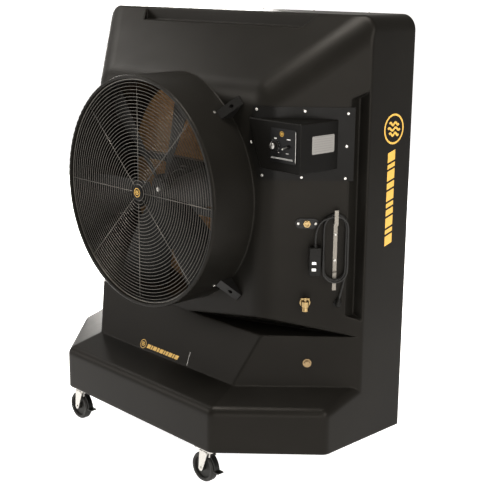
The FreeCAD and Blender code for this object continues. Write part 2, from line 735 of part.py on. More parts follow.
def hood_at(x, rise):
    """Point and outward normal on the hood's plan outline, raised off it, at one x."""
    turn = math.radians(45)
    start = FACE_Y + CHAMFER - HOOD_R * math.tan(turn / 2)
    if x <= start:
        angle, point = 0.0, V(x, FACE_Y, 0)
    elif x >= start + HOOD_R * math.sin(turn):
        angle, point = turn, V(x, x - CHAMFER, 0)
    else:
        angle = math.asin((x - start) / HOOD_R)
        point = V(x, FACE_Y + HOOD_R * (1 - math.cos(angle)), 0)
    normal = V(math.sin(angle), -math.cos(angle), 0)
    return point + normal * rise, normal


def left_trim(points, inset):
    """Everything right of a slanted left edge."""
    shifted = [(x + inset, z) for x, z in points]
    top, low = shifted[0], shifted[-1]
    return profile_y([(top[0], 500), (900, 500), (900, -100), (low[0], -100)] + shifted[::-1], 100, 700)


def control_cover():
    hood_skin = hood_faces(0, HOOD_R)
    edge, normal = hood_at(COVER_RIGHT_X, 0)
    along = V(1, 1, 0).normalize() * 200
    beyond = [edge - normal * 20, edge + normal * 20, edge + normal * 20 + along, edge - normal * 20 + along]
    sheet = hood_faces(-COVER_PLATE, HOOD_R + COVER_PLATE)
    sheet = sheet.common(block((COVER_START_X, 2 * SIDE_X), (0, 2 * SIDE_X), COVER_Z))
    sheet = sheet.cut(hood_skin).common(left_trim(COVER_LEFT, 0))
    sheet = sheet.cut(plan([(p.x, p.y) for p in beyond], *COVER_Z))
    (x_top, z_top), (x_low, z_low) = BOX_LEFT
    slant = (x_low - x_top) / (z_top - z_low)
    ends = [(x_top - (500 - z_top) * slant, 500), (x_low + (z_low + 100) * slant, -100)]
    box_plan = [(COVER_START_X, FACE_Y + 20), (COVER_START_X, BOX_FRONT_Y), (BOX_RIGHT_X, BOX_FRONT_Y),
                (BOX_RIGHT_X, BOX_RIGHT_X - CHAMFER + 20), (FACE_CORNER_X, FACE_Y + 20)]
    box = plan(box_plan, *BOX_Z).common(left_trim(ends, 0)).cut(hood_skin)
    box = rounded(box, 5, lambda e: middle(e).y < BOX_FRONT_Y + 0.1 or
                  (abs(middle(e).x - BOX_RIGHT_X) < 0.1 and middle(e).y < BOX_RIGHT_X - CHAMFER - 1))
    t = COVER_WALL
    right = BOX_RIGHT_X - t
    hollow_plan = [(COVER_START_X, FACE_Y + 40), (COVER_START_X, BOX_FRONT_Y + t), (right, BOX_FRONT_Y + t),
                   (right, BOX_RIGHT_X - CHAMFER + 40)]
    hollow = plan(hollow_plan, BOX_Z[0] + t, BOX_Z[1] - t).common(left_trim(ends, t + 2))
    cover = fused([sheet, box]).cut(hollow)
    x, z = KNOB_AT
    boss = rod(9, (x, BOX_FRONT_Y + t - 0.5, z), (x, BOX_FRONT_Y + 16, z))
    bore = rod(KNOB_STEM_R + RUNNING_GAP, (x, 190, z), (x, 230, z))
    x, z = SWITCH_AT
    return cover.fuse(boss).cut(bore).cut(rod(8, (x, 190, z), (x, BOX_FRONT_Y + t + 1, z)))


KNOB_STEM_R = 3.0
KNOB_R = 19.0
TOGGLE_Y = 193.0
TOGGLE_PIN_R = 1.2


def control_panel():
    """Label plate with the toggle's threaded bushing."""
    y = BOX_FRONT_Y
    plate = block(PANEL_X, (y - PANEL_T, y), PANEL_Z)
    plate = rounded(plate, 6, runs_along_y)
    x, z = KNOB_AT
    plate = plate.cut(rod(KNOB_STEM_R + RUNNING_GAP, (x, y - 9, z), (x, y + 1, z)))
    x, z = SWITCH_AT
    bushing = rod(7.5, (x, TOGGLE_Y - 5, z), (x, y + 10, z))
    nut = hexagon_rod(19, (x, y - PANEL_T - 3, z), (x, y - PANEL_T, z))
    panel = fused([plate, bushing, nut]).cut(rod(5.4, (x, TOGGLE_Y - 6, z), (x, y, z)))
    return panel.cut(rod(TOGGLE_PIN_R + RUNNING_GAP, (x - 10, TOGGLE_Y, z), (x + 10, TOGGLE_Y, z)))


def speed_knob():
    """Skirted knob with a raised pointer bar."""
    x, z = KNOB_AT
    back = BOX_FRONT_Y - PANEL_T - 0.5
    skirt = rod(KNOB_R, (x, back, z), (x, back - 5, z))
    grip = rod(KNOB_R - 4, (x, back - 5, z), (x, back - 17, z))
    skirt = rounded(skirt, 2, lambda e: abs(middle(e).y - (back - 5)) < 0.01)
    grip = rounded(grip, 2, lambda e: abs(middle(e).y - (back - 17)) < 0.01)
    pointer = block((x - 2, x + 2), (back - 19, back - 16), (z, z + KNOB_R - 5))
    flute_x = x + KNOB_R - 3.2
    flute = rod(2, (flute_x, back - 5, z), (flute_x, back - 18, z))
    flutes = [turned(flute, 30 * k, Y_AXIS, V(x, 0, z)) for k in range(12)]
    knob = fused([skirt, grip.cut(Part.makeCompound(flutes)), pointer])
    return knob.fuse(rod(KNOB_STEM_R, (x, back - 1, z), (x, BOX_FRONT_Y + 15, z))).removeSplitter()


TOGGLE_LENGTH = 22.0
TOGGLE_TILT = 14.0


def pump_switch():
    """Toggle lever on its cross pin, tipped down at rest."""
    x, z = SWITCH_AT
    pin = rod(TOGGLE_PIN_R, (x - 7.4, TOGGLE_Y, z), (x + 7.4, TOGGLE_Y, z))
    ball = Part.makeSphere(3.6, V(x, TOGGLE_Y, z))
    lever = Part.makeCone(2.0, 3.4, TOGGLE_LENGTH, V(x, TOGGLE_Y, z), V(0, -1, 0))
    tip = Part.makeSphere(3.4, V(x, TOGGLE_Y - TOGGLE_LENGTH, z))
    return turned(fused([pin, ball, lever, tip]), TOGGLE_TILT, X_AXIS, V(x, TOGGLE_Y, z))


PLATE_Y = (263.0, 386.0)
PLATE_Z = (220.0, 288.0)


def rating_plate():
    plate = block((BOX_RIGHT_X, BOX_RIGHT_X + 1), PLATE_Y, PLATE_Z)
    return rounded(plate, 5, runs_along_x)


COVER_SCREWS = [(490, 372), (464, 242), (516, 120), (639, 370), (633, 116), (755, 363), (753, 238),
                (752, 114)]


def cover_screws():
    screws = []
    for x, z in COVER_SCREWS:
        base, outward = hood_at(x, COVER_PLATE)
        screws.append(screw(*SMALL_SCREW, base + V(0, 0, z), outward))
    return screws


def speed_drive():
    """Finned electronic drive on the 45 degree face, inside the cover."""
    u, z = (600, 690), (175, 315)
    body = block(u, (-24, 0), z)
    fins = [block((u[0] + 4 + k * 12, u[0] + 9 + k * 12), (-48, -23), z) for k in range(7)]
    return to_slope(fused([body] + fins))


# ---- fittings on the right 45 degree face ----
INLET_AT = (695.0, -66.0)


def inlet_flange():
    """Oval plate for the water inlet."""
    u, z = INLET_AT
    half = 25.0
    r = 20.0
    ends = [rod(r, (u + s * half, 0, z), (u + s * half, -6, z)) for s in (-1, 1)]
    oval = fused(ends + [block((u - half, u + half), (-6, 0), (z - r, z + r))])
    return to_slope(oval)


def inlet_fitting():
    u, z = INLET_AT
    hexagon = hexagon_rod(26, (u, -14, z), (u, -6, z))
    stub = rod(10, (u, -14, z), (u, -24, z)).cut(rod(7, (u, -13, z), (u, -25, z)))
    return to_slope(fused([hexagon, stub]))


def fitting_screws():
    u, z = INLET_AT
    spots = [(u + s * 34, 6, z) for s in (-1, 1)] + [(WRAP_U, WRAP_T, z) for z in (-108, -213)]
    return [to_slope(screw(*SMALL_SCREW, (u, -n, z), (0, -1, 0))) for u, n, z in spots]


def case_screws():
    return guard_screws() + cover_screws() + fitting_screws()


VALVE_AT = (694.0, -387.0)
VALVE_N = 36.0
HOSE_THREAD_R = 13.2
HOSE_THREAD_Z = (-412.0, -394.0)
VALVE_STEM_R = 3.0
LEVER_Z = -364.0
LOBE_U = 11.0


def hose_valve():
    """Brass ball valve: wall flange, barrel and a threaded hose outlet facing down."""
    u, z = VALVE_AT
    n = VALVE_N
    flange = rod(21, (u, 0, z), (u, -5, z))
    neck = hexagon_rod(27, (u, -16, z), (u, -5, z))
    inlet = rod(11, (u, -n, z), (u, -15, z))
    barrel = rod(15.5, (u, -n, HOSE_THREAD_Z[1]), (u, -n, z + 14))
    outlet = rod(HOSE_THREAD_R, (u, -n, HOSE_THREAD_Z[0]), (u, -n, HOSE_THREAD_Z[1]))
    collar = rod(6, (u, -n, z + 14), (u, -n, LEVER_Z - 1))
    body = fused([flange, neck, inlet, barrel, outlet, collar])
    body = body.cut(rod(9.5, (u, -n, HOSE_THREAD_Z[0] - 1), (u, -n, HOSE_THREAD_Z[1])))
    return to_slope(body.cut(rod(VALVE_STEM_R + RUNNING_GAP, (u, -n, z), (u, -n, LEVER_Z + 5))))


def valve_handle():
    """Two-lobed butterfly handle on its stem."""
    u, z = VALVE_AT
    n = VALVE_N
    stem = rod(VALVE_STEM_R, (u, -n, z + 2), (u, -n, LEVER_Z + 1))
    hub = rod(8, (u, -n, LEVER_Z), (u, -n, LEVER_Z + 7))
    lobes = [rod(8, (u + s * LOBE_U, -n, LEVER_Z + 1), (u + s * LOBE_U, -n, LEVER_Z + 6)) for s in (-1, 1)]
    bar = block((u - LOBE_U, u + LOBE_U), (-n - 5, -n + 5), (LEVER_Z + 1, LEVER_Z + 6))
    return to_slope(fused([stem, hub, bar] + lobes))


DRAIN_AT = (708.0, -641.0)


def drain_plug():
    u, z = DRAIN_AT
    flange = rod(17.5, (u, 0, z), (u, -6, z))
    return to_slope(fused([flange, hexagon_rod(20, (u, -15, z), (u, -6, z))]))


WRAP_U = 807.0
WRAP_HALF_W = 7.5
WRAP_T = 3.0
WRAP_Z = (-335.0, -60.0)
WRAP_ARM_N = 45.0
WRAP_LIP_TOP = -4.0


WRAP_TAB_N = 14.0
WRAP_TABS = (-262.0, -304.5)


def cord_wrap():
    """Bent strip for the cord: plate, arm with an upturned lip, and two tabs at the coil's foot."""
    z0, z1 = WRAP_Z
    t = WRAP_T
    section = [(0, z0), (-t, z0), (-t, z1 - t), (-WRAP_ARM_N, z1 - t), (-WRAP_ARM_N, WRAP_LIP_TOP),
               (t - WRAP_ARM_N, WRAP_LIP_TOP), (t - WRAP_ARM_N, z1), (0, z1)]
    width = (WRAP_U - WRAP_HALF_W, WRAP_U + WRAP_HALF_W)
    tabs = [block(width, (-WRAP_TAB_N, -t + 1), (z, z + 2.5)) for z in WRAP_TABS]
    return to_slope(fused([profile_x(section, *width)] + tabs))


GLAND_R = 10.0
GLAND_TAPER = (11.0, 28.0)     # where the tapered outlet starts and ends, from the knee's middle
GLAND_TIP_R = 5.5


def cord_gland():
    """Elbow strain relief: a tapered outlet that points up along the cord's first run."""
    tip = V(LEAD_ROUTE[0][0], -LEAD_ROUTE[0][1], LEAD_ROUTE[0][2])
    along = (V(LEAD_ROUTE[1][0], -LEAD_ROUTE[1][1], LEAD_ROUTE[1][2]) - tip).normalize()
    start, end = GLAND_TAPER
    knee = tip - along * end
    flange = hexagon_rod(30, (knee.x, -6, knee.z), (knee.x, 0, knee.z))
    inlet = rod(GLAND_R, (knee.x, 0, knee.z), tuple(knee))
    outlet = rod(GLAND_R, tuple(knee), tuple(knee + along * start))
    taper = Part.makeCone(GLAND_R, GLAND_TIP_R, end - start, knee + along * start, along)
    return to_slope(fused([flange, inlet, Part.makeSphere(GLAND_R, knee), outlet, taper]))


def cord_tube(name, route):
    """Straight runs joined by tangent arcs."""
    points = [V(u, -n, z) for u, n, z in route]
    edges = []
    start = points[0]
    radii = []
    for before, corner, after in zip(points, points[1:], points[2:]):
        arrive = (corner - before).normalize()
        leave = (after - corner).normalize()
        half_turn = arrive.getAngle(leave) / 2
        cut = 0.45 * min((corner - before).Length, (after - corner).Length)
        radius = cut / math.tan(half_turn)
        centre = corner + (leave - arrive).normalize() * (radius / math.cos(half_turn))
        top = centre + (corner - centre).normalize() * radius
        edges.append(Part.LineSegment(start, corner - arrive * cut).toShape())
        edges.append(Part.Arc(corner - arrive * cut, top, corner + leave * cut).toShape())
        start = corner + leave * cut
        radii.append(radius)
    edges.append(Part.LineSegment(start, points[-1]).toShape())
    path = Part.Wire(edges)
    section = Part.Wire(Part.makeCircle(CORD_R, points[0], points[1] - points[0]))
    tube = path.makePipeShell([section], True, False)
    ratio = tube.Volume / (math.pi * CORD_R ** 2 * path.Length)
    shown = [round(r, 1) for r in radii]
    print("%s: length %.1f, volume ratio %.4f, radii %s" % (name, path.Length, ratio, shown))
    return to_slope(tube)


def stadium(half_u, half_z, n):
    """Upright slot shape about the coil's centre, between two distances from the face."""
    straight = half_z - half_u
    z_ends = (COIL_Z - straight, COIL_Z + straight)
    ends = [rod(half_u, (COIL_U, -n[0], z), (COIL_U, -n[1], z)) for z in z_ends]
    between = block((COIL_U - half_u, COIL_U + half_u), (-n[1], -n[0]), z_ends)
    return fused(ends + [between])


COIL_INNER = (30.0, 104.0)


def cord_coil():
    inner = stadium(*COIL_INNER, (COIL_N[0] - 1, COIL_N[1] + 1))
    return to_slope(stadium(*COIL_HALF, COIL_N).cut(inner))


PLUG_U = (705.0, 751.0)
PLUG_N = (24.0, 56.0)
PLUG_Z = (-265.0, -151.0)
BUTTON_U = 724.0
BUTTON_ZS = {"test_button": -212.0, "reset_button": -238.0}
BUTTON_HALF = (8.0, 5.0)
BUTTON_POCKET = 5.0
BUTTON_RISE = 1.8
BUTTON_GAP = 0.2


def plug_body():
    """Plug with built-in leakage protection: two button pockets in the outer face."""
    middle_u = (PLUG_U[0] + PLUG_U[1]) / 2
    body = block(PLUG_U, (-PLUG_N[1], -PLUG_N[0]), PLUG_Z)
    body = rounded(body, 8, lambda e: middle(e).z < PLUG_Z[1] - 1 and runs_along_y(e))
    body = rounded(body, 4, lambda e: abs(middle(e).y + PLUG_N[1]) < 0.01)
    sleeve = Part.makeCone(9, 6.5, 14, V(middle_u, -40, PLUG_Z[1] - 2), Z_AXIS)
    body = body.fuse(sleeve)
    for z in BUTTON_ZS.values():
        half_u, half_z = (h + BUTTON_GAP for h in BUTTON_HALF)
        depth = (-PLUG_N[1] - 1, -PLUG_N[1] + BUTTON_POCKET)
        body = body.cut(block((BUTTON_U - half_u, BUTTON_U + half_u), depth, (z - half_z, z + half_z)))
    return to_slope(body)


def plug_button(name):
    z = BUTTON_ZS[name]
    half_u, half_z = BUTTON_HALF
    depth = (-PLUG_N[1] - BUTTON_RISE, -PLUG_N[1] + BUTTON_POCKET - 2)
    cap = block((BUTTON_U - half_u, BUTTON_U + half_u), depth, (z - half_z, z + half_z))
    return to_slope(rounded(cap, 0.8, lambda e: abs(middle(e).y + PLUG_N[1] + BUTTON_RISE) < 0.01))


def plug_blades():
    """Two flat blades and a round earth pin, pointing at the wall."""
    u = (PLUG_U[0] + PLUG_U[1]) / 2
    z = -205.0
    flat = [block((u + s * 6.35 - 0.8, u + s * 6.35 + 0.8), (-PLUG_N[0], 18 - PLUG_N[0]), (z - 3.2, z + 3.2))
            for s in (-1, 1)]
    pin = rod(2.4, (u, -PLUG_N[0], z - 12), (u, -PLUG_N[0] + 20, z - 12))
    return [to_slope(s) for s in flat + [pin]]


# ---- casters ----
CASTERS = {1: (-CASTER_X, CASTER_FRONT_Y), 2: (CASTER_X, CASTER_FRONT_Y),
           3: (-CASTER_X, CASTER_REAR_Y), 4: (CASTER_X, CASTER_REAR_Y)}
AXLE_Z = -1071.5
KINGPIN_R = 6.0
AXLE_R = 5.0
LEG_Y = (22.0, 26.0)
BRAKE_PIN = (22.0, -1008.0)
BRAKE_PIN_R = 3.0
BRAKE_ARC = (71.0, 75.0)
BRAKE_SPAN = (-5.0, 58.0)


def caster_plate():
    """Top plate with its bearing cup and a fixed kingpin, about the stem's axis."""
    plate = block((-50, 50), (-38, 38), (BOTTOM_Z - 4, BOTTOM_Z))
    plate = rounded(plate, 8, lambda e: abs(abs(direction(e).z) - 1) < 0.01)
    cup = rod(25, (0, 0, BOTTOM_Z - 12), (0, 0, BOTTOM_Z - 3))
    kingpin = rod(KINGPIN_R, (0, 0, BOTTOM_Z - 26), (0, 0, BOTTOM_Z - 10))
    nut = rod(11, (0, 0, BOTTOM_Z - 29), (0, 0, BOTTOM_Z - 25))
    bolt = plan(hexagon(12), BOTTOM_Z - 8, BOTTOM_Z - 4)
    bolts = [moved(bolt, sx * 38, sy * 30, 0) for sx in (-1, 1) for sy in (-1, 1)]
    return fused([plate, cup, kingpin, nut] + bolts)


CROWN_Z = (-1001.0, -990.0)


def caster_fork(braked):
    """Crown with two tapering legs, an axle, and lugs for the brake pedal's pin."""
    low, high = CROWN_Z
    crown = rod(28, (0, 0, low), (0, 0, high))
    crown = rounded(crown, 4, lambda e: middle(e).z > high - 0.1)
    crown = crown.cut(rod(KINGPIN_R + RUNNING_GAP, (0, 0, low - 1), (0, 0, high + 1)))
    crown = crown.cut(rod(12, (0, 0, low - 1), (0, 0, low + 1.5)))
    legs = []
    outline = [(-26, high - 3), (24, high - 3), (20, low - 6), (12 - TRAIL, AXLE_Z - 4),
               (6 - TRAIL, AXLE_Z - 13), (-6 - TRAIL, AXLE_Z - 13), (-12 - TRAIL, AXLE_Z - 4),
               (-25, low - 6)]
    for y0, y1 in (LEG_Y, (-LEG_Y[1], -LEG_Y[0])):
        legs.append(profile_y(outline, y0, y1))
    bridge = [block((-24, 18), (s * 24 - 4, s * 24 + 4), (low, high - 3)) for s in (-1, 1)]
    axle = rod(AXLE_R, (-TRAIL, -29, AXLE_Z), (-TRAIL, 29, AXLE_Z))
    shapes = [crown] + legs + bridge + [axle]
    if braked:
        x, z = BRAKE_PIN
        shapes += [block((x - 8, x + 7), (s * 17 - 2, s * 17 + 2), (z - 6, high - 4)) for s in (-1, 1)]
    fork = fused(shapes)
    if braked:
        fork = fork.cut(rod(BRAKE_PIN_R + RUNNING_GAP, (x, -20, z), (x, 20, z)))
    return fork


def caster_wheel():
    """Tyre, rim and hub turned as one, bored for the axle."""
    w = WHEEL_W / 2
    bore = AXLE_R + RUNNING_GAP
    points = [(bore, -w - 2), (14, -w - 2), (14, -8), (44, -8), (46, -w + 3), (50, -w), (WHEEL_R - 5, -w),
              (WHEEL_R, -w + 7), (WHEEL_R, w - 7), (WHEEL_R - 5, w), (50, w), (46, w - 3), (44, 8), (14, 8),
              (14, w + 2), (bore, w + 2)]
    return moved(round_profile(points), -TRAIL, 0, AXLE_Z)


def caster_brake():
    """Curved foot pedal over the tread, hung on a cross pin."""
    inner, outer = BRAKE_ARC
    x, z = BRAKE_PIN
    half_w = 12.0
    ring = ring_y(inner, outer, -half_w, half_w)
    far = 200
    first, last = ((far * math.cos(a), far * math.sin(a)) for a in map(math.radians, BRAKE_SPAN))
    sector = profile_y([(0, 0), first, (far, far), last], -half_w, half_w)
    arm = moved(ring.common(sector), -TRAIL, 0, AXLE_Z)
    tab = block((50, 76), (-half_w - 4, half_w + 4), (AXLE_Z - 2, AXLE_Z + 3))
    pin = rod(BRAKE_PIN_R, (x, -19, z), (x, 19, z))
    boss = rod(6, (x, -half_w, z), (x, half_w, z))
    return fused([arm, tab, pin, boss])


SINGLE = [housing, front_guard, hub_badge, guard_clips, case_screws, fan_venturi, fan_blades, fan_hub,
          motor_shaft, motor, motor_mount, pad_tray, media_frame, inlet_screen, frame_screws, water_header,
          drip_channel, riser_hose, pump_body, pump_screen, pump_impeller, float_valve, float_arm,
          float_ball, control_cover, control_panel, speed_knob, pump_switch, rating_plate, speed_drive,
          inlet_flange, inlet_fitting, hose_valve, valve_handle, drain_plug, cord_wrap, cord_gland,
          cord_coil, plug_body, plug_blades]


def main():
    os.makedirs("parts", exist_ok=True)
    for build in SINGLE:
        save(build.__name__, build())
    save("cord_lead", cord_tube("cord_lead", LEAD_ROUTE))
    save("cord_tail", cord_tube("cord_tail", TAIL_ROUTE))
    for name in BUTTON_ZS:
        save(name, plug_button(name))
    for index in range(PAD_COUNT):
        save("media_pad_%d" % (index + 1), media_pad(index))
    save("caster_plates", [moved(caster_plate(), x, y, 0) for x, y in CASTERS.values()])
    for number, (x, y) in CASTERS.items():
        braked = y == CASTER_FRONT_Y
        save("caster_fork_%d" % number, moved(caster_fork(braked), x, y, 0))
        save("caster_wheel_%d" % number, moved(caster_wheel(), x, y, 0))
        if braked:
            save("caster_brake_%d" % number, moved(caster_brake(), x, y, 0))


if __name__ == "__main__":
    main()
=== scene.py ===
import math

import bpy
from mathutils import Matrix, Vector


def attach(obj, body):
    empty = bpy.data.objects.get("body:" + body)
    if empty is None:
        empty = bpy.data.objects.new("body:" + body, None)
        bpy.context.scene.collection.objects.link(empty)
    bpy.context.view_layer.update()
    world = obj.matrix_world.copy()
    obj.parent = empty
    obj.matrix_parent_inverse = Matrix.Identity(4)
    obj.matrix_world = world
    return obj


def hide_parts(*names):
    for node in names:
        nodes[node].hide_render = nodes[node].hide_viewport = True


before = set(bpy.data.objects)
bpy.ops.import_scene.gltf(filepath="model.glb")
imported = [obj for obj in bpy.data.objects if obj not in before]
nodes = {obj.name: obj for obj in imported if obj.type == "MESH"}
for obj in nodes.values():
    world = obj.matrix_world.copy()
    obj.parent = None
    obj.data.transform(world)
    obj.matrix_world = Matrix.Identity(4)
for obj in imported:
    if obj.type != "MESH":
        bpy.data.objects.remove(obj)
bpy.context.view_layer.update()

# The CAD model's own millimetre axes: X right, Y towards the rear from the shroud's lip,
# Z up from the fan's axis. These metres put that origin in the row's frame.
FAN_Y = -0.370
FAN_Z = 1.134
SLOPE_SHIFT = 159.5        # half the shell's chamfer, which the 45 degree face cuts off
ROOT2 = math.sqrt(2)


def at(x, y, z):
    """Millimetres about the fan's centre to metres in the row's frame."""
    return Vector((x / 1000, y / 1000 + FAN_Y, z / 1000 + FAN_Z))


def on_slope(u, n, z):
    """Point on the right 45 degree face: along it, out from it and up."""
    return at((u + n) / ROOT2 + SLOPE_SHIFT, (u - n) / ROOT2 - SLOPE_SHIFT, z)


# ---------------------------------------------------------------- materials
def new_material(name):
    material = bpy.data.materials.new(name)
    material.use_nodes = True
    return material, material.node_tree, material.node_tree.nodes["Principled BSDF"]


def link(tree, a, out, b, into):
    tree.links.new(a.outputs[out], b.inputs[into])


def noise(tree, scale, detail=4.0, roughness=0.55, stretch=(1, 1, 1)):
    """Noise on object coordinates, in cells per metre."""
    coords = tree.nodes.new("ShaderNodeTexCoord")
    mapping = tree.nodes.new("ShaderNodeMapping")
    mapping.inputs["Scale"].default_value = stretch
    texture = tree.nodes.new("ShaderNodeTexNoise")
    texture.inputs["Scale"].default_value = scale
    texture.inputs["Detail"].default_value = detail
    texture.inputs["Roughness"].default_value = roughness
    link(tree, coords, "Object", mapping, "Vector")
    link(tree, mapping, "Vector", texture, "Vector")
    return texture


def ramp(tree, source, out, stops):
    node = tree.nodes.new("ShaderNodeValToRGB")
    link(tree, source, out, node, "Fac")
    elements = node.color_ramp.elements
    while len(elements) < len(stops):
        elements.new(0.5)
    for element, (position, colour) in zip(elements, stops):
        element.position = position
        element.color = (*colour, 1)
    return node


def span(tree, source, out, low, high):
    """Maps 0..1 to low..high."""
    node = tree.nodes.new("ShaderNodeMapRange")
    node.inputs["To Min"].default_value = low
    node.inputs["To Max"].default_value = high
    link(tree, source, out, node, "Value")
    return node


def bump(tree, shader, source, out, strength, distance, below=None):
    node = tree.nodes.new("ShaderNodeBump")
    node.inputs["Strength"].default_value = strength
    node.inputs["Distance"].default_value = distance
    link(tree, source, out, node, "Height")
    if below:
        link(tree, below, "Normal", node, "Normal")
    link(tree, node, "Normal", shader, "Normal")
    return node


def edge_mask(tree, radius, low, high):
    """1 along convex edges: where the bevelled normal leaves the true one."""
    bevel = tree.nodes.new("ShaderNodeBevel")
    bevel.samples = 6
    bevel.inputs["Radius"].default_value = radius
    geometry = tree.nodes.new("ShaderNodeNewGeometry")
    dot = tree.nodes.new("ShaderNodeVectorMath")
    dot.operation = "DOT_PRODUCT"
    link(tree, bevel, "Normal", dot, 0)
    link(tree, geometry, "Normal", dot, 1)
    mask = tree.nodes.new("ShaderNodeMapRange")
    mask.inputs["From Min"].default_value = high
    mask.inputs["From Max"].default_value = low
    link(tree, dot, "Value", mask, "Value")
    return mask


def plastic(name, colour, roughness, grain=900, grain_depth=0.00005, mottle=0.12, specular=0.5):
    """Moulded plastic: slight shade and gloss variation, and a fine grain."""
    material, tree, shader = new_material(name)
    cloud = noise(tree, 6, 5)
    dark = tuple(c * (1 - mottle) for c in colour)
    light = tuple(min(1, c * (1 + mottle)) for c in colour)
    shade = ramp(tree, cloud, "Fac", [(0.35, dark), (0.65, light)])
    link(tree, shade, "Color", shader, "Base Color")
    gloss = span(tree, noise(tree, 14, 6), "Fac", roughness * 0.85, roughness * 1.2)
    link(tree, gloss, "Result", shader, "Roughness")
    fine = noise(tree, grain, 2)
    bump(tree, shader, fine, "Fac", 0.25, grain_depth)
    shader.inputs["Specular IOR Level"].default_value = specular
    return material


def metal(name, colour, roughness, stretch=(1, 1, 1), scale=300, scratch=0.12, painted=False):
    """Metal with drawn or rolled streaks in its gloss."""
    material, tree, shader = new_material(name)
    shader.inputs["Metallic"].default_value = 0 if painted else 1
    if painted:
        shader.inputs["Specular IOR Level"].default_value = 0.14
    streak = noise(tree, scale, 5, 0.6, stretch)
    dark = tuple(c * (1 - scratch) for c in colour)
    shade = ramp(tree, streak, "Fac", [(0.3, dark), (0.7, colour)])
    link(tree, shade, "Color", shader, "Base Color")
    gloss = span(tree, streak, "Fac", roughness * 0.7, roughness * 1.35)
    link(tree, gloss, "Result", shader, "Roughness")
    bump(tree, shader, streak, "Fac", 0.12, 0.00008)
    return material


def shell_plastic():
    """Charcoal rotomoulded polyethylene: orange peel, soft flow marks, rounded arrises and a painted
    highlight along the edges.
    """
    material, tree, shader = new_material("shell_polyethylene")
    cloud = noise(tree, 2.2, 6)
    shade = ramp(tree, cloud, "Fac", [(0.3, (0.0036, 0.0033, 0.0028)), (0.7, (0.0054, 0.0050, 0.0042))])
    # Painted highlight: the colour is lightened towards a paler charcoal along the edges, in place of the
    # light that rounded edges catch.
    edge_highlight = edge_mask(tree, 0.004, 0.9, 0.995)
    mix = tree.nodes.new("ShaderNodeMix")
    mix.data_type = "RGBA"
    mix.inputs["B"].default_value = (0.022, 0.0205, 0.018, 1)
    strength = span(tree, edge_highlight, "Result", 0.0, 0.35)
    link(tree, strength, "Result", mix, "Factor")
    link(tree, shade, "Color", mix, "A")
    link(tree, mix, "Result", shader, "Base Color")
    gloss = span(tree, noise(tree, 9, 7, 0.6), "Fac", 0.30, 0.44)
    link(tree, gloss, "Result", shader, "Roughness")
    soft = tree.nodes.new("ShaderNodeBevel")
    soft.samples = 6
    soft.inputs["Radius"].default_value = 0.012
    peel = bump(tree, shader, noise(tree, 90, 3), "Fac", 0.16, 0.0006, soft)
    bump(tree, shader, noise(tree, 1100, 2), "Fac", 0.22, 0.00006, peel)
    shader.inputs["Specular IOR Level"].default_value = 0.062
    shader.inputs["Specular Tint"].default_value = (1, 0.94, 0.87, 1)
    return material


def cellulose():
    """Corrugated paper: tan, streaked by water."""
    material, tree, shader = new_material("cellulose_paper")
    fibre = noise(tree, 60, 6, 0.65, (1, 1, 0.25))
    stops = [(0.25, (0.24, 0.13, 0.055)), (0.55, (0.42, 0.25, 0.115)), (0.8, (0.56, 0.36, 0.18))]
    shade = ramp(tree, fibre, "Fac", stops)
    link(tree, shade, "Color", shader, "Base Color")
    shader.inputs["Roughness"].default_value = 0.9
    shader.inputs["Specular IOR Level"].default_value = 0.2
    bump(tree, shader, noise(tree, 420, 4), "Fac", 0.5, 0.0004)
    return material


def rubber(name, colour, roughness):
    material, tree, shader = new_material(name)
    grain = noise(tree, 240, 5)
    shade = ramp(tree, grain, "Fac", [(0.3, colour), (0.8, tuple(c * 1.7 for c in colour))])
    link(tree, shade, "Color", shader, "Base Color")
    gloss = span(tree, grain, "Fac", roughness * 0.85, roughness * 1.15)
    link(tree, gloss, "Result", shader, "Roughness")
    shader.inputs["Specular IOR Level"].default_value = 0.16
    bump(tree, shader, grain, "Fac", 0.2, 0.0002)
    return material


def printed(name, colour, roughness=0.35):
    """Screen-printed ink with a faint mottle."""
    material, tree, shader = new_material(name)
    mottle = noise(tree, 500, 3)
    shade = ramp(tree, mottle, "Fac", [(0.3, tuple(c * 0.85 for c in colour)), (0.7, colour)])
    link(tree, shade, "Color", shader, "Base Color")
    shader.inputs["Roughness"].default_value = roughness
    bump(tree, shader, mottle, "Fac", 0.05, 0.00005)
    return material


SHELL = shell_plastic()
BLACK_PLASTIC = plastic("black_plastic", (0.004, 0.0038, 0.0034), 0.38, specular=0.08)
COVER_PLASTIC = plastic("cover_plastic", (0.003, 0.0028, 0.0025), 0.30, specular=0.055)
PANEL_BLACK = plastic("panel_black", (0.003, 0.003, 0.003), 0.22, grain_depth=0.00002, specular=0.15)
FAN_BLACK = plastic("fan_black", (0.0045, 0.0042, 0.0038), 0.45, specular=0.10)
GREY_PLASTIC = plastic("grey_plastic", (0.12, 0.125, 0.13), 0.45)
WHITE_PLASTIC = plastic("white_plastic", (0.75, 0.75, 0.72), 0.35, mottle=0.03)
BLACK_METAL = metal("black_powder_coat", (0.0045, 0.0043, 0.004), 0.3, scale=700, painted=True)
GUARD_METAL = metal("guard_wire", (0.085, 0.08, 0.072), 0.36, scale=150)
ALUMINIUM = metal("aluminium_strip", (0.135, 0.125, 0.11), 0.42, (1, 1, 0.06), 900)
ZINC = metal("zinc_plate", (0.36, 0.35, 0.33), 0.28, (1, 1, 0.2), 350)
GALVANISED = metal("galvanised_sheet", (0.5, 0.52, 0.54), 0.45, (1, 1, 1), 60, 0.25)
BRASS = metal("brass", (0.24, 0.17, 0.08), 0.22, (1, 1, 1), 260)
DULL_BRASS = metal("dull_brass", (0.18, 0.128, 0.07), 0.42, (1, 1, 1), 200)
GOLD = printed("gold_ink", (0.48, 0.28, 0.035))
LABEL = printed("label_print", (0.15, 0.144, 0.135), 0.3)
INK_LIGHT = printed("light_ink", (0.55, 0.54, 0.52))
INK_GREY = printed("grey_ink", (0.09, 0.088, 0.085))
PAPER = cellulose()
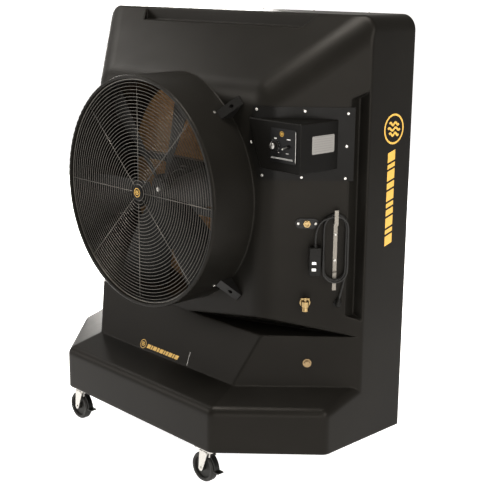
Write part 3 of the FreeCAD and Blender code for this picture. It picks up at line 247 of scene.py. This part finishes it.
CORD_RUBBER = rubber("cord_rubber", (0.006, 0.0058, 0.0054), 0.45)
TYRE = rubber("tyre_rubber", (0.007, 0.0067, 0.006), 0.55)

NODE_MATERIALS = {
    SHELL: ["housing"],
    COVER_PLASTIC: ["control_cover", "hub_badge"],
    BLACK_PLASTIC: ["media_frame", "plug_body", "cord_gland", "speed_knob"],
    PANEL_BLACK: ["control_panel"],
    FAN_BLACK: ["fan_blades", "fan_hub"],
    GREY_PLASTIC: ["riser_hose", "pump_body", "pump_screen"],
    WHITE_PLASTIC: ["water_header", "pump_impeller", "float_ball", "test_button", "reset_button"],
    BLACK_METAL: ["guard_clips", "fan_venturi", "motor", "motor_mount", "inlet_screen", "inlet_flange",
                  "caster_brake_1", "caster_brake_2"],
    GUARD_METAL: ["front_guard"],
    ALUMINIUM: ["cord_wrap"],
    ZINC: ["case_screws", "frame_screws", "motor_shaft", "pump_switch", "plug_blades", "caster_plates"]
          + ["caster_fork_%d" % k for k in range(1, 5)],
    GALVANISED: ["pad_tray", "drip_channel", "speed_drive"],
    BRASS: ["inlet_fitting", "hose_valve", "valve_handle", "float_valve", "float_arm"],
    DULL_BRASS: ["drain_plug"],
    LABEL: ["rating_plate"],
    PAPER: ["media_pad_%d" % k for k in range(1, 6)],
    CORD_RUBBER: ["cord_lead", "cord_coil", "cord_tail"],
    TYRE: ["caster_wheel_%d" % k for k in range(1, 5)],
}
for material, names in NODE_MATERIALS.items():
    for name in names:
        node = nodes[name]
        node.data.materials.clear()
        node.data.materials.append(material)


# ---------------------------------------------------------------- small builders
def mesh_piece(name, vertices, faces, material, body="base", smooth=False):
    mesh = bpy.data.meshes.new(name)
    mesh.from_pydata([tuple(v) for v in vertices], [], faces)
    mesh.validate()
    mesh.update()
    if smooth:
        mesh.polygons.foreach_set("use_smooth", [True] * len(mesh.polygons))
    piece = bpy.data.objects.new(name, mesh)
    bpy.context.scene.collection.objects.link(piece)
    mesh.materials.append(material)
    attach(piece, body)
    return piece


def print_shape(name, outlines, place, material, body="base"):
    """Flat printed shapes: each outline is a list of (a, b), set on the surface by place(a, b)."""
    vertices, faces = [], []
    for outline in outlines:
        faces.append(list(range(len(vertices), len(vertices) + len(outline))))
        vertices += [place(a, b) for a, b in outline]
    return mesh_piece(name, vertices, faces, material, body)


def ribbon(centre_line, width):
    """Closed outline of a band of that width along a line of (a, b) points."""
    left, right = [], []
    for k, (a, b) in enumerate(centre_line):
        a0, b0 = centre_line[max(k - 1, 0)]
        a1, b1 = centre_line[min(k + 1, len(centre_line) - 1)]
        length = math.hypot(a1 - a0, b1 - b0)
        da, db = -(b1 - b0) / length * width / 2, (a1 - a0) / length * width / 2
        left.append((a + da, b + db))
        right.append((a - da, b - db))
    return left + right[::-1]


def nurbs_cord(name, points, radius, material, body="base"):
    curve = bpy.data.curves.new(name, "CURVE")
    curve.dimensions = "3D"
    curve.bevel_depth = radius
    curve.bevel_resolution = 4
    curve.resolution_u = 8
    spline = curve.splines.new("NURBS")
    spline.points.add(len(points) - 1)
    for point, place in zip(spline.points, points):
        point.co = (*place, 1)
    spline.order_u = 3
    spline.use_endpoint_u = True
    curve.materials.append(material)
    piece = bpy.data.objects.new(name, curve)
    bpy.context.scene.collection.objects.link(piece)
    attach(piece, body)
    return piece


# ---------------------------------------------------------------- power cord
CORD_D = 0.0085
LEAD_ROUTE = [(828, 21, -362), (833, 20, -338), (839, 18, -315), (844, 16, -291), (847, 15, -268)]
TAIL_ROUTE = [(790, 33, -34), (767, 34, -40), (746, 36, -55), (733, 38, -78), (728, 40, -106),
              (728, 40, -139)]
COIL_CENTRE = (806, -160)
COIL_STRAIGHT = 88         # half the straight side of a turn
COIL_TURNS = 4
COIL_R = 45
COIL_SPREAD = 3.5          # how far a turn's end radius goes either side of COIL_R
COIL_FOOT = 13             # the first turn's height over the face
COIL_RISE = 4.7            # the rise from turn to turn
ARC_STEPS = 6
STRAIGHT_STATIONS = (-0.85, -0.3, 0.3, 0.85)
LAST_PART_TURN = 5         # stations past the last whole turn
COIL_END = [(838, 33, -40), (814, 33, -30)]


def turn_stations():
    """One upright turn: (sideways, upright) in end radii, and the middle's height in half straights."""
    half = math.pi / ARC_STEPS
    stations = []
    for side, first in ((1, 0), (-1, math.pi)):
        stations += [(side, 0, middle * side) for middle in STRAIGHT_STATIONS]
        angles = [first + half * (k + 0.5) for k in range(ARC_STEPS)]
        stations += [(math.cos(a), math.sin(a), side) for a in angles]
    return stations


def coil_route():
    """Upright slot-shaped turns that lie alternately inside and outside each other, working outwards."""
    points = []
    stations = turn_stations()
    for k in range(COIL_TURNS * len(stations) + LAST_PART_TURN):
        across, up, middle = stations[k % len(stations)]
        turn = k / len(stations)
        radius = COIL_R + COIL_SPREAD * math.cos(math.pi * turn)
        slack = math.sin(5 * turn)
        n = COIL_FOOT + COIL_RISE * turn
        z = COIL_CENTRE[1] + middle * COIL_STRAIGHT + up * (radius + slack)
        points.append((COIL_CENTRE[0] + across * radius, n, z))
    return points + COIL_END


cord_points = LEAD_ROUTE + coil_route() + TAIL_ROUTE
cord = nurbs_cord("power_cord", [on_slope(*p) for p in cord_points], CORD_D / 2, CORD_RUBBER)
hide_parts("cord_lead", "cord_coil", "cord_tail")


def spline_length(points):
    """Length of the smooth line through the route, from a curve with no bevel."""
    probe = nurbs_cord("probe", points, 0, CORD_RUBBER)
    mesh = bpy.data.meshes.new_from_object(probe)
    places = [vertex.co for vertex in mesh.vertices]
    total = sum((places[edge.vertices[0]] - places[edge.vertices[1]]).length for edge in mesh.edges)
    bpy.data.objects.remove(probe)
    return total


tuple(on_slope(*LEAD_ROUTE[0]))
spline_length([on_slope(*p) for p in cord_points])


# ---------------------------------------------------------------- fan guard
GUARD_Y = 14.0
RING_PITCH = 14.2
RING_COUNT = 30
RING_WIRE = 1.15           # radius of a ring's wire
RIM_R = 462.5
RIM_WIRE = 2.0
SPOKES = 8
SPOKE_WIRE = 1.6
SPOKE_REACH = (20, 461)    # from under the hub plate to the rim
WIRE_STEP = 0.3            # rings lie this far in front of the spokes' middle plane
HUB_PLATE_R = 36.0
HUB_PLATE_Y = (12.2, 15.8)
HUB_PLATE_EDGE = 0.8


def add_ring(vertices, faces, radius, y, wire, flat=1.0):
    """Round wire bent to a circle about the fan's axis."""
    around = 64 if radius < 200 else 128
    section = 8
    start = len(vertices)
    for i in range(around):
        a = 2 * math.pi * i / around
        for j in range(section):
            b = 2 * math.pi * j / section
            r = radius + wire * flat * math.cos(b)
            vertices.append(at(r * math.cos(a), y + wire * math.sin(b), r * math.sin(a)))
    for i in range(around):
        for j in range(section):
            here, there = start + i * section, start + (i + 1) % around * section
            k = (j + 1) % section
            faces.append((here + j, here + k, there + k, there + j))


def add_rod(vertices, faces, start_point, end_point, radius, section=8):
    along = (end_point - start_point).normalized()
    side = along.orthogonal().normalized()
    other = along.cross(side)
    first = len(vertices)
    for point in (start_point, end_point):
        for j in range(section):
            b = 2 * math.pi * j / section
            vertices.append(point + side * (radius * math.cos(b)) + other * (radius * math.sin(b)))
    for j in range(section):
        k = (j + 1) % section
        faces.append((first + j, first + k, first + section + k, first + section + j))
    faces.append(tuple(first + j for j in reversed(range(section))))
    faces.append(tuple(first + section + j for j in range(section)))


def add_disc(vertices, faces, profile, around=64):
    """Solid turned about the fan's axis from (radius, y) points, closed at its ends."""
    first = len(vertices)
    for r, y in profile:
        for i in range(around):
            a = 2 * math.pi * i / around
            vertices.append(at(r * math.cos(a), y, r * math.sin(a)))
    for p in range(len(profile) - 1):
        for i in range(around):
            k = (i + 1) % around
            row, below = first + p * around, first + (p + 1) * around
            faces.append((row + i, row + k, below + k, below + i))
    faces.append(tuple(first + i for i in reversed(range(around))))
    last = first + (len(profile) - 1) * around
    faces.append(tuple(last + i for i in range(around)))


def guard_wires():
    vertices, faces = [], []
    for k in range(1, RING_COUNT):
        add_ring(vertices, faces, HUB_PLATE_R + k * RING_PITCH, GUARD_Y - WIRE_STEP, RING_WIRE)
    add_ring(vertices, faces, RIM_R, GUARD_Y, RIM_WIRE, 1.6)
    for k in range(SPOKES):
        a = 2 * math.pi / SPOKES * k
        along = (math.cos(a), math.sin(a))
        start, end = (at(along[0] * r, GUARD_Y + WIRE_STEP, along[1] * r) for r in SPOKE_REACH)
        add_rod(vertices, faces, start, end, SPOKE_WIRE / 1000)
    front, rear = HUB_PLATE_Y
    add_disc(vertices, faces, [(HUB_PLATE_R - 1, front), (HUB_PLATE_R, front + HUB_PLATE_EDGE),
                               (HUB_PLATE_R, rear - HUB_PLATE_EDGE), (HUB_PLATE_R - 1, rear)])
    return mesh_piece("guard_wires", vertices, faces, GUARD_METAL, smooth=True)


wires = guard_wires()
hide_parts("front_guard")


# ---------------------------------------------------------------- cooling pads
PAD_COUNT = 5
PAD_Y = (588.0, 738.0)
PAD_Z = (-590.0, 640.0)
PAD_WIDTH = 295.0
PAD_STEP = 296.0
SHEET_PITCH = 7.4
FLUTE_PITCH = 22.0
FLUTE_SHIFT = 70.0


def pad_sheets(index):
    """Corrugated sheets stood side by side, their flutes sloping opposite ways on alternate sheets."""
    left = (index - PAD_COUNT / 2) * PAD_STEP + 0.5
    count = int(PAD_WIDTH / SHEET_PITCH)
    steps = int((PAD_Z[1] - PAD_Z[0]) / (FLUTE_PITCH / 4))
    vertices, faces = [], []
    for k in range(count):
        x = left + (k + 0.5) * PAD_WIDTH / count
        lean = FLUTE_SHIFT if k % 2 else -FLUTE_SHIFT
        first = len(vertices)
        for j in range(steps + 1):
            z = PAD_Z[0] + (PAD_Z[1] - PAD_Z[0]) * j / steps
            for y, shift in ((PAD_Y[0], 0), (PAD_Y[1], lean)):
                wave = SHEET_PITCH * 0.49 * math.sin(2 * math.pi * (z + shift) / FLUTE_PITCH)
                vertices.append(at(x + wave, y, z))
        for j in range(steps):
            a = first + 2 * j
            faces.append((a, a + 1, a + 3, a + 2))
    piece = mesh_piece("pad_sheets_%d" % (index + 1), vertices, faces, PAPER)
    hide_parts("media_pad_%d" % (index + 1))


for index in range(PAD_COUNT):
    pad_sheets(index)


# ---------------------------------------------------------------- printed marks
def ring_band(a, b, radius, width, points=48):
    """Ring as a fan of four-sided outlines."""
    shapes = []
    for k in range(points):
        t0, t1 = 2 * math.pi * k / points, 2 * math.pi * (k + 1) / points
        shapes.append([(a + r * math.cos(t), b + r * math.sin(t))
                       for r, t in ((radius - width, t0), (radius, t0), (radius, t1), (radius - width, t1))])
    return shapes


def air_mark(a, b, radius):
    """Plain badge: a ring round three wavy lines of air."""
    shapes = ring_band(a, b, radius, radius * 0.13)
    for k in (-1, 0, 1):
        reach = radius * (0.62 - 0.14 * abs(k))
        line = [(a + reach * t / 10, b + radius * (0.34 * k + 0.09 * math.sin(t * 0.6)))
                for t in range(-10, 11)]
        shapes += quads(ribbon(line, radius * 0.15))
    return shapes


def quads(outline):
    """Cuts a ribbon's outline into four-sided pieces, so that a bent one stays flat shaded."""
    half = len(outline) // 2
    return [[outline[k], outline[k + 1], outline[-k - 2], outline[-k - 1]] for k in range(half - 1)]


BAR_SIZES = [1.6, 0.7, 1.6, 1.0, 1.6, 0.7, 1.0, 1.6, 0.7, 1.6]
BAR_GAP = 0.35             # in the same units as the sizes


def slanted_bars(start, end, half_height, lean):
    """Row of slanted blocks between two places along a, about b = 0."""
    total = sum(BAR_SIZES) + BAR_GAP * (len(BAR_SIZES) - 1)
    unit = (end - start) / total
    shapes = []
    a = start
    for size in BAR_SIZES:
        width = size * unit
        shapes.append([(a - lean, -half_height), (a + width - lean, -half_height),
                       (a + width + lean, half_height), (a + lean, half_height)])
        a += width + BAR_GAP * unit
    return shapes


PRINT_PROUD = 0.3
SIDE_X = 814.0
SIDE_BARS_Y = 633
WALL_BARS_S = 208          # down the wall from its top edge
HUB_MARK_Y = 6.6
PLATE_X = 733.0


def side_print():
    """Badge and bars down the right side of the rear frame."""
    x = SIDE_X + PRINT_PROUD
    badge = print_shape("side_badge", air_mark(641, 292, 60), lambda a, b: at(x, a, b), GOLD)
    row = slanted_bars(-205, 170, 22, 6)
    bars = print_shape("side_bars", row, lambda a, b: at(x, SIDE_BARS_Y - b, -a), GOLD)
    return [badge, bars]


WALL_TOP = (211.0, -530.0)
WALL_FOOT = (130.0, -744.0)


def on_wall(x, s):
    """Point on the leaning front wall: across, and down from its top edge."""
    dy, dz = WALL_FOOT[0] - WALL_TOP[0], WALL_FOOT[1] - WALL_TOP[1]
    length = math.hypot(dy, dz)
    forward = dy * s + dz * PRINT_PROUD
    upward = dz * s - dy * PRINT_PROUD
    return at(x, WALL_TOP[0] + forward / length, WALL_TOP[1] + upward / length)


def wall_print():
    """Badge, bars and a thin upright rule on the front wall."""
    badge = print_shape("wall_badge", air_mark(-142, -206, 20), lambda a, b: on_wall(a, -b), GOLD)
    row = slanted_bars(-112, 98, 9, 3)
    bars = print_shape("wall_bars", row, lambda a, b: on_wall(a, WALL_BARS_S - b), GOLD)
    upright = [(160, 165), (161.5, 165), (161.5, 224), (160, 224)]
    rule = print_shape("wall_rule", [upright], on_wall, INK_LIGHT)
    return [badge, bars, rule]


def hub_print():
    return [print_shape("hub_mark", air_mark(0, 0, 19), lambda a, b: at(a, HUB_MARK_Y, b), GOLD)]


PANEL_FACE_Y = 198.5 - PRINT_PROUD
KNOB_AT = (602, 247)
KNOB_TICKS = 11


def panel_print():
    """Rules, ticks and symbols of the control panel."""
    def place(a, b):
        return at(a, PANEL_FACE_Y, b)

    rules = [(583, 695, 198.6, 199.6), (583, 695, 202.2, 203.2), (708.6, 710, 192, 308)]
    symbols = [(597, 611, 274, 277), (664, 682, 275, 278), (660, 674, 222, 224), (618, 624, 222, 224)]
    light = [[(a0, b0), (a1, b0), (a1, b1), (a0, b1)] for a0, a1, b0, b1 in rules + symbols]
    for k in range(KNOB_TICKS):
        a = math.radians(-45 + 27 * k)
        line = [(KNOB_AT[0] + r * math.cos(a), KNOB_AT[1] + r * math.sin(a)) for r in (21.5, 24.5)]
        light += quads(ribbon(line, 0.9))
    ink = print_shape("panel_lines", light, place, INK_LIGHT)
    mark = print_shape("panel_mark", air_mark(637, 294, 10), place, GOLD)
    return [ink, mark]


def plate_print():
    """Faint ruled lines on the blank rating plate."""
    x = PLATE_X + PRINT_PROUD
    rows = [[(272, b), (377, b), (377, b + 1.2), (272, b + 1.2)] for b in range(229, 284, 9)]
    return [print_shape("plate_rules", rows, lambda a, b: at(x, a, b), INK_GREY)]


for piece in side_print() + wall_print() + hub_print() + panel_print() + plate_print():
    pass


# ---------------------------------------------------------------- small hardware
def knob_cap():
    """Bright cap on the speed knob."""
    vertices, faces = [], []
    add_disc(vertices, faces, [(12.5, 181.2), (12.5, 180.4), (11.5, 179.8), (1, 179.6)], 40)
    moved_to = at(KNOB_AT[0], 0, KNOB_AT[1]) - at(0, 0, 0)
    piece = mesh_piece("knob_cap", [v + moved_to for v in vertices], faces, ZINC, "speed_knob", True)


THREAD_START_Z = -410.5
THREAD_PITCH = 2.2
THREAD_TURNS = 7
THREAD_ROOT_R = 12.9
THREAD_CREST_R = 14.1
THREAD_HALF_W = 0.9


def hose_thread():
    """Rolled ridges on the hose valve's outlet."""
    vertices, faces = [], []
    foot = on_slope(694, 36, THREAD_START_Z)
    around = 40
    steps = around * THREAD_TURNS
    ridge = ((THREAD_ROOT_R, -THREAD_HALF_W), (THREAD_CREST_R, 0), (THREAD_ROOT_R, THREAD_HALF_W))
    for i in range(steps + 1):
        a = 2 * math.pi * i / around
        rise = THREAD_PITCH * i / around
        for r, dz in ridge:
            vertices.append(foot + Vector((r * math.cos(a), r * math.sin(a), rise + dz)) / 1000)
    for i in range(steps):
        for j in range(2):
            a = 3 * i + j
            faces.append((a, a + 3, a + 4, a + 1))
    piece = mesh_piece("hose_thread", vertices, faces, BRASS, smooth=True)


knob_cap()
hose_thread()


# ---------------------------------------------------------------- stage, light and camera
FLOOR_HALF = 400
FLOOR_GLOW = 0.86


def stage_floor():
    """Plain pale floor that reaches past the top of the view."""
    mesh = bpy.data.meshes.new("floor")
    corners = [(x * FLOOR_HALF, y * FLOOR_HALF, 0) for x, y in ((-1, -1), (1, -1), (1, 1), (-1, 1))]
    mesh.from_pydata(corners, [], [(0, 1, 2, 3)])
    floor = bpy.data.objects.new("floor", mesh)
    bpy.context.scene.collection.objects.link(floor)
    material, tree, shader = new_material("pale_floor")
    shade = ramp(tree, noise(tree, 0.8, 2), "Fac", [(0.3, (0.90, 0.90, 0.90)), (0.7, (0.93, 0.93, 0.93))])
    link(tree, shade, "Color", shader, "Base Color")
    shader.inputs["Roughness"].default_value = 0.9
    shader.inputs["Emission Color"].default_value = (1, 1, 1, 1)
    shader.inputs["Emission Strength"].default_value = FLOOR_GLOW
    mesh.materials.append(material)


SOFT_WHITE = (1, 0.965, 0.92)
PAD_WHITE = (1, 0.95, 0.80)


def area_light(name, place, target, size, power, tint=SOFT_WHITE):
    data = bpy.data.lights.new(name, "AREA")
    data.shape = "RECTANGLE"
    data.size, data.size_y = size
    data.energy = power
    data.color = tint
    light = bpy.data.objects.new(name, data)
    light.location = place
    light.rotation_euler = (Vector(target) - Vector(place)).to_track_quat("-Z", "Y").to_euler()
    bpy.context.scene.collection.objects.link(light)


def world_light(horizon, zenith):
    """Warm soft surround, bright near the horizon and dim overhead."""
    world = bpy.data.worlds.new("studio")
    world.use_nodes = True
    tree = world.node_tree
    background = tree.nodes["Background"]
    background.inputs["Color"].default_value = (1, 0.96, 0.90, 1)
    coords = tree.nodes.new("ShaderNodeTexCoord")
    parts = tree.nodes.new("ShaderNodeSeparateXYZ")
    link(tree, coords, "Generated", parts, "Vector")
    fade = span(tree, parts, "Z", horizon, zenith)
    fade.inputs["From Min"].default_value = 0.15
    fade.inputs["From Max"].default_value = 0.7
    link(tree, fade, "Result", background, "Strength")
    bpy.context.scene.world = world


def studio_camera():
    """Long lens 46.4 degrees round and 14.1 degrees down, with a slight roll."""
    around, down, roll = (math.radians(a) for a in (46.42, 14.10, 0.44))
    back = Vector((math.sin(around) * math.cos(down), -math.cos(around) * math.cos(down), math.sin(down)))
    right = Vector((math.cos(around), math.sin(around), 0))
    up = back.cross(right)
    side = right * math.cos(roll) + up * math.sin(roll)
    top = up * math.cos(roll) - right * math.sin(roll)
    data = bpy.data.cameras.new("camera")
    data.sensor_width = 36
    data.lens = 78.64
    camera = bpy.data.objects.new("camera", data)
    turn = Matrix((side, top, back)).transposed().to_4x4()
    camera.matrix_world = Matrix.Translation((3.388, -2.988, 1.998)) @ turn
    bpy.context.scene.collection.objects.link(camera)
    bpy.context.scene.camera = camera


bpy.context.scene.view_settings.view_transform = "Standard"
stage_floor()
world_light(0.66, 0.2)
area_light("key_left", (-4.3, -4.2, 2.9), (0, 0, 0.8), (3, 2.5), 160)
area_light("kicker_left", (-5.0, 3.6, 1.7), (-0.4, 0, 0.9), (2.5, 2.5), 470)
area_light("fill_right", (4.5, -1.0, 2.6), (0.4, 0, 1.0), (2.5, 3), 230)
area_light("front_low", (4.6, -4.4, 0.9), (0.2, 0, 0.7), (2.5, 1.2), 110)
area_light("top_soft", (0.2, -0.9, 4.4), (0, 0, 1.0), (1.6, 1.2), 230)
area_light("hood_left", (-4.2, -0.9, 4.2), (-0.3, 0, 1.5), (1.5, 1.5), 55)
area_light("pad_fill", (0, 0.06, 1.04), (0, 0.3, 1.02), (1.3, 1.15), 1.1, PAD_WHITE)
studio_camera()
